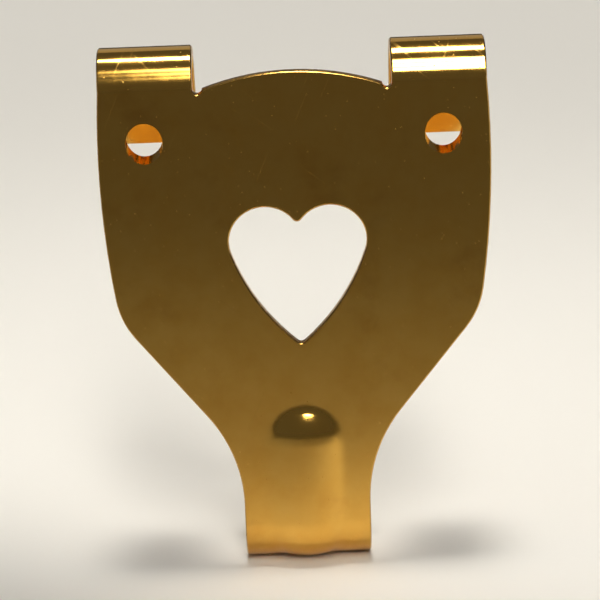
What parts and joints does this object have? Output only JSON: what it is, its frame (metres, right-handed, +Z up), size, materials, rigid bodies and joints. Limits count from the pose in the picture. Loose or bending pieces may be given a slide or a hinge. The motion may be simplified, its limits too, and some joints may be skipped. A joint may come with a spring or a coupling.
{
  "type": "picture hook",
  "caption": "Brass-plated picture hook folded from one stamped sheet, with slanted pin channels through folded flaps, a heart cut-out and a ribbed upturned hook for a frame's wire.",
  "frame": {"origin": "on the wall plane, which is the back face of the plate, midway between the points where the pins leave it", "axes": "+Y into the wall, square to the plate's back face; +Z up; +X to the right for someone who faces the wall; the hook stands out towards -Y"},
  "size_m": [0.0252, 0.0082, 0.0351],
  "materials": {
    "brass_plating": "bright brass plating on sheet steel"
  },
  "bodies": {
    "root": {"hook_plate": "brass_plating"}
  },
  "joints": []
}
